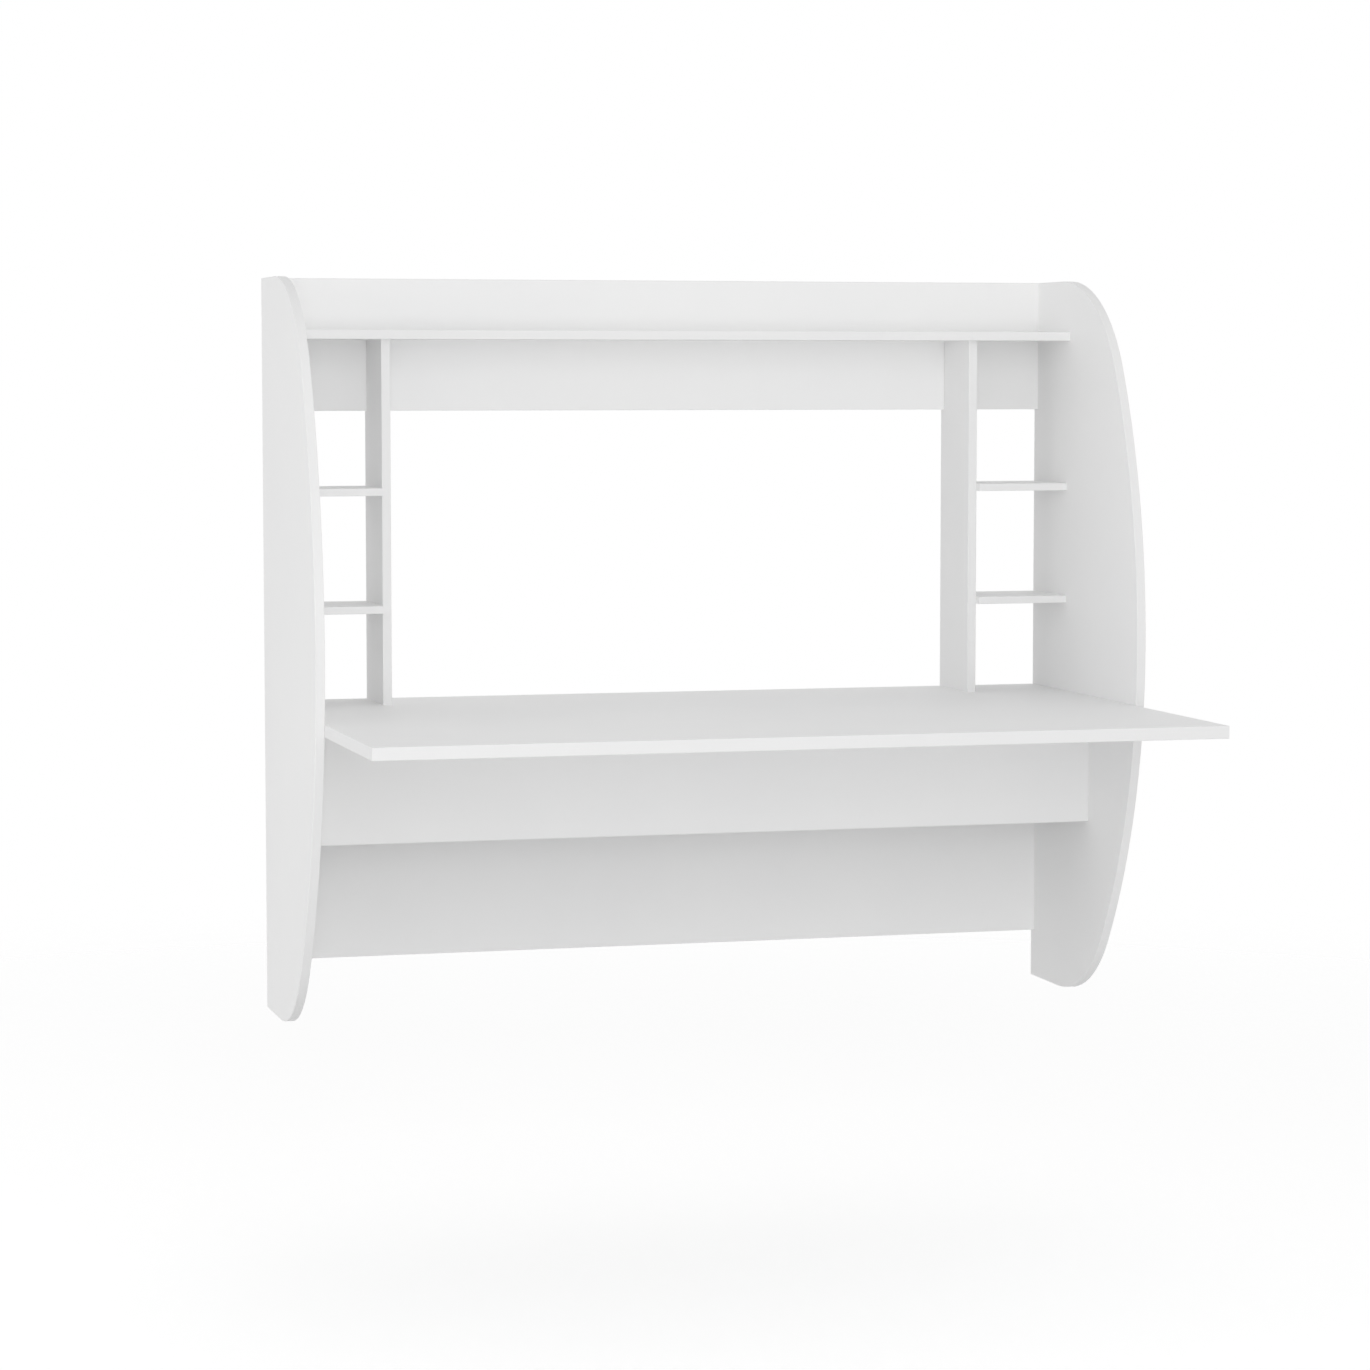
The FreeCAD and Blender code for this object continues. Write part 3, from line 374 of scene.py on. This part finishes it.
def make_white_laminate(lie):
    """White melamine face on particle board, for boards that stand or lie one way."""
    made, w, shader = finish_of("white_laminate_" + lie, IOR=1.5)
    pearl = w.group(PRESSED_PEARL, Pearls_Per_Metre=850.0, Sheen_Low=0.55, Sheen_High=0.66)
    tone = w.group(TONE_DRIFT, Warm=LAMINATE_WHITE, Cool=LAMINATE_WHITE_COOL, Patches_Per_Metre=2.6)
    marks = w.group(HAND_MARKS, Marks_Per_Metre=11.0, Cover=0.35)
    scuff = w.group(EDGE_SCUFF, Reach=0.0008, Nicks_Per_Metre=140.0, Cover=0.45)
    finished, lay = FINISHED_FACES[lie], CHIP_LAY[lie]
    core = w.group(CHIP_CORE, Finished=finished, Lay=lay, Chips_Per_Metre=230.0)
    worn = w.blend(w.part(scuff["Wear"], LAMINATE_WEAR), tone["Colour"], GLUE_LINE)
    w.put(shader["Base Color"], w.blend(core["Core"], worn, core["Colour"]))
    rubbed = w.sums("SUBTRACT", pearl["Roughness"], w.part(marks["Marks"], LAMINATE_RUB))
    w.put(shader["Roughness"], w.blend(core["Core"], rubbed, CORE_ROUGHNESS, kind="FLOAT"))
    face = w.bump(pearl["Height"], LAMINATE_PEARL_DEPTH, strength=0.5)
    cut = w.sums("MULTIPLY", core["Height"], core["Core"])
    w.put(shader["Normal"], w.bump(cut, CHIP_DEPTH, strength=0.8, Normal=face))
    return made


# Wear and rub as for laminate.
EDGING_WEAR, EDGING_RUB = 0.25, 0.06
# The lines that a scraper leaves along a strip: how fine, how drawn out and how deep.
SCRAPES_PER_METRE = 1400.0
SCRAPE_STRETCH = 0.02
SCRAPE_SHARE, EDGING_PEARL_SHARE = 0.7, 0.3
SCRAPE_DEPTH = 0.00002


def make_white_edging(run):
    """Satin white edging strip, scraped along its run."""
    made, w, shader = finish_of("white_edging_" + run, IOR=1.5)
    pearl = w.group(PRESSED_PEARL, Pearls_Per_Metre=1300.0, Sheen_Low=0.45, Sheen_High=0.56)
    tone = w.group(TONE_DRIFT, Warm=EDGING_WHITE, Cool=EDGING_WHITE_COOL, Patches_Per_Metre=4.0)
    marks = w.group(HAND_MARKS, Marks_Per_Metre=18.0, Cover=0.4)
    scuff = w.group(EDGE_SCUFF, Reach=0.0007, Nicks_Per_Metre=110.0, Cover=0.35)
    drawn_out = tuple(1.0 if across else SCRAPE_STRETCH for across in ACROSS_EDGING[run])
    along_run = w.vector("MULTIPLY", w.place(), drawn_out)
    scrapes = w.noise(along_run, SCRAPES_PER_METRE, detail=2.0, roughness=0.5)
    worn = w.blend(w.part(scuff["Wear"], EDGING_WEAR), tone["Colour"], GLUE_LINE)
    w.put(shader["Base Color"], worn)
    rubbed = w.sums("SUBTRACT", pearl["Roughness"], w.part(marks["Marks"], EDGING_RUB))
    w.put(shader["Roughness"], rubbed)
    scraped = w.mixed(scrapes, SCRAPE_SHARE, pearl["Height"], EDGING_PEARL_SHARE)
    w.put(shader["Normal"], w.bump(scraped, SCRAPE_DEPTH, strength=0.6))
    return made


# Rolled lines run upright in the plate; they set its roughness, and handling dulls it further.
ROLLED_STRETCH = (1.0, 1.0, 0.06)
ROLLED_LINES_PER_METRE = 2600.0
ROLLED_ROUGHNESS_LOW, ROLLED_ROUGHNESS_HIGH = 0.28, 0.44
ROLLED_DEPTH = 0.00003
ZINC_HANDLING = 0.12
ZINC_CORNER_SHINE = 0.6


def make_zinc_plated_steel():
    """Zinc plate on pressed and turned steel, rolled lines showing through."""
    made, w, shader = finish_of("zinc_plated_steel", Metallic=1.0)
    tone = w.group(TONE_DRIFT, Warm=ZINC_BRIGHT, Cool=ZINC_DULL, Patches_Per_Metre=120.0)
    marks = w.group(HAND_MARKS, Marks_Per_Metre=70.0, Cover=0.6)
    scuff = w.group(EDGE_SCUFF, Reach=0.0004, Nicks_Per_Metre=500.0, Cover=0.7)
    along_plate = w.vector("MULTIPLY", w.place(), ROLLED_STRETCH)
    rolled = w.noise(along_plate, ROLLED_LINES_PER_METRE, detail=3.0, roughness=0.6)
    shine = w.part(scuff["Wear"], ZINC_CORNER_SHINE)
    w.put(shader["Base Color"], w.blend(shine, tone["Colour"], ZINC_BRIGHT))
    lined = w.spread(rolled, NOISE_LOW, NOISE_HIGH, ROLLED_ROUGHNESS_LOW, ROLLED_ROUGHNESS_HIGH)
    w.put(shader["Roughness"], w.sums("ADD", lined, w.part(marks["Marks"], ZINC_HANDLING)))
    w.put(shader["Normal"], w.bump(rolled, ROLLED_DEPTH, strength=0.5))
    return made


MOULD_GRAIN_PER_METRE = 4200.0
MOULD_ROUGHNESS_LOW, MOULD_ROUGHNESS_HIGH = 0.42, 0.60
MOULD_GRAIN_DEPTH = 0.00006
CASTING_CORNER_SHINE = 0.7


def make_zinc_die_casting():
    """Dull grey die-cast zinc, grainy from the mould and rubbed bright at its corners."""
    made, w, shader = finish_of("zinc_die_casting", Metallic=1.0)
    tone = w.group(TONE_DRIFT, Warm=CASTING_GREY, Cool=CASTING_DARK, Patches_Per_Metre=260.0)
    scuff = w.group(EDGE_SCUFF, Reach=0.0004, Nicks_Per_Metre=700.0, Cover=0.8)
    grain = w.noise(w.place(), MOULD_GRAIN_PER_METRE, detail=3.0, roughness=0.65)
    shine = w.part(scuff["Wear"], CASTING_CORNER_SHINE)
    w.put(shader["Base Color"], w.blend(shine, tone["Colour"], ZINC_BRIGHT))
    grainy = w.spread(grain, NOISE_LOW, NOISE_HIGH, MOULD_ROUGHNESS_LOW, MOULD_ROUGHNESS_HIGH)
    w.put(shader["Roughness"], grainy)
    w.put(shader["Normal"], w.bump(grain, MOULD_GRAIN_DEPTH, strength=0.7))
    return made


# Grain and ray flecks are drawn out along X, the way most of the dowels lie.
GRAIN_STRETCH, GRAIN_PER_METRE = (0.12, 1.0, 1.0), 900.0
FLECK_STRETCH, FLECKS_PER_METRE = (0.25, 1.0, 1.0), 2400.0
FLECK_START, FLECK_FULL = 0.62, 0.72
BEECH_ROUGHNESS_LOW, BEECH_ROUGHNESS_HIGH = 0.55, 0.72
GRAIN_DEPTH = 0.00008


def make_beech_dowel():
    """Steamed beech, the grain along the dowel, with the short dark flecks of its rays."""
    made, w, shader = finish_of("beech_dowel", IOR=1.45)
    place = w.place()
    along_grain = w.vector("MULTIPLY", place, GRAIN_STRETCH)
    grain = w.noise(along_grain, GRAIN_PER_METRE, detail=4.0, roughness=0.6)
    along_rays = w.vector("MULTIPLY", place, FLECK_STRETCH)
    flecks = w.noise(along_rays, FLECKS_PER_METRE, detail=1.0, roughness=0.4)
    wood = w.blend(w.spread(grain, NOISE_LOW, NOISE_HIGH), BEECH_PALE, BEECH_DARK)
    rays = w.spread(flecks, FLECK_START, FLECK_FULL)
    w.put(shader["Base Color"], w.blend(rays, wood, BEECH_FLECK))
    open_grain = w.spread(grain, NOISE_LOW, NOISE_HIGH, BEECH_ROUGHNESS_LOW, BEECH_ROUGHNESS_HIGH)
    w.put(shader["Roughness"], open_grain)
    w.put(shader["Normal"], w.bump(grain, GRAIN_DEPTH, strength=0.6))
    return made


def dress_desk():
    """Gives every CAD node its finish: boards by the way they lie, edgings by the way they run."""
    laminate = {lie: make_white_laminate(lie) for lie in BOARD_LIES}
    edging = {run: make_white_edging(run) for run in ACROSS_EDGING}
    metal_and_wood = {
        "zinc_plated_steel": make_zinc_plated_steel(),
        "zinc_die_casting": make_zinc_die_casting(),
        "beech_dowel": make_beech_dowel(),
    }
    for name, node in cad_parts.items():
        low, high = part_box(name)
        span = list(high - low)
        if name in HARDWARE:
            finish = metal_and_wood[HARDWARE[name]]
        elif name in SIDE_EDGINGS:
            finish = edging["round_sides"]
        elif name.endswith("_edging"):
            finish = edging[EDGING_RUNS[span.index(max(span))]]
        else:
            finish = laminate[BOARD_LIES[span.index(min(span))]]
        node.data.materials.clear()
        node.data.materials.append(finish)


def background_share(w):
    """1 where the camera, a reflection or a see-through surface looks at the background, else 0."""
    path = w.node("LightPath").outputs
    seen = w.sums("MAXIMUM", path["Is Camera Ray"], path["Is Glossy Ray"])
    return w.sums("MAXIMUM", seen, path["Is Transmission Ray"])


def lay_floor():
    """A plain pale floor, white to the eye with the desk's soft shadow, and open from beneath."""
    mesh = bpy.data.meshes.new("pale_floor")
    reach = FLOOR_HALF_WIDTH
    corners = [(-reach, -reach), (reach, -reach), (reach, reach), (-reach, reach)]
    mesh.from_pydata([(x, y, FLOOR_LEVEL) for x, y in corners], [], [(0, 1, 2, 3)])
    floor = bpy.data.objects.new("pale_floor", mesh)
    bpy.context.scene.collection.objects.link(floor)
    paint = bpy.data.materials.new("pale_floor_paint")
    paint.use_nodes = True
    paint.node_tree.nodes.clear()
    w = Wiring(paint.node_tree)
    matt = w.node("BsdfDiffuse", {"Color": FLOOR_COLOUR}).outputs[0]
    lift = w.node("Emission", {"Strength": w.part(background_share(w), FLOOR_LIFT)}).outputs[0]
    lifted = w.node("AddShader", {0: matt, 1: lift}).outputs[0]
    beneath = w.node("NewGeometry").outputs["Backfacing"]
    from_desk = w.vector("LENGTH", w.vector("MULTIPLY", w.place(), ON_THE_LEVEL))
    far_off = w.spread(
        from_desk, FLOOR_FADE_START, FLOOR_FADE_END, interpolation_type="SMOOTHSTEP")
    to_the_eye = w.sums("MULTIPLY", far_off, background_share(w))
    clear = w.sums("MAXIMUM", to_the_eye, beneath)
    see_through = w.node("BsdfTransparent").outputs[0]
    surface = w.node("MixShader", {0: clear, 1: lifted, 2: see_through}).outputs[0]
    w.node("OutputMaterial", {"Surface": surface})
    mesh.materials.append(paint)


def light_room():
    """A pale world that looks white, brighter to the right, and the soft boxes."""
    world = bpy.data.worlds.new("pale_room")
    world.use_nodes = True
    world.node_tree.nodes.clear()
    bpy.context.scene.world = world
    w = Wiring(world.node_tree)
    towards = w.node("TexCoord").outputs["Generated"]
    to_the_right = w.vector("DOT_PRODUCT", towards, ROOM_RIGHT)
    right_light = w.part(w.sums("MAXIMUM", to_the_right, 0.0), ROOM_RIGHT_LIGHT)
    light = w.sums("ADD", right_light, ROOM_LIGHT)
    strength = w.blend(background_share(w), light, ROOM_WHITE, kind="FLOAT")
    glow = w.node("Background", {"Color": ROOM_COLOUR, "Strength": strength})
    w.node("OutputWorld", {"Surface": glow.outputs[0]})
    for name, place, target, width, height, watts in SOFT_BOXES:
        lamp = bpy.data.lights.new(name, "AREA")
        lamp.shape = "RECTANGLE"
        lamp.size, lamp.size_y = width, height
        lamp.energy = watts
        box = bpy.data.objects.new(name, lamp)
        box.location = place
        box.rotation_euler = (Vector(target) - Vector(place)).to_track_quat("-Z", "Y").to_euler()
        box.visible_camera = False
        bpy.context.scene.collection.objects.link(box)


def set_camera():
    """The camera at the photograph's viewing angle."""
    data = bpy.data.cameras.new("photo_camera")
    data.sensor_width = SENSOR_WIDTH
    data.lens = CAMERA_LENS
    camera = bpy.data.objects.new("photo_camera", data)
    camera.location = CAMERA_PLACE
    tilt = math.radians(CAMERA_LEVEL + CAMERA_DIP)
    camera.rotation_euler = (tilt, 0.0, math.radians(CAMERA_TURN))
    bpy.context.scene.collection.objects.link(camera)
    bpy.context.scene.camera = camera


dress_desk()
lay_floor()
light_room()
set_camera()
bpy.context.scene.view_settings.view_transform = "Standard"
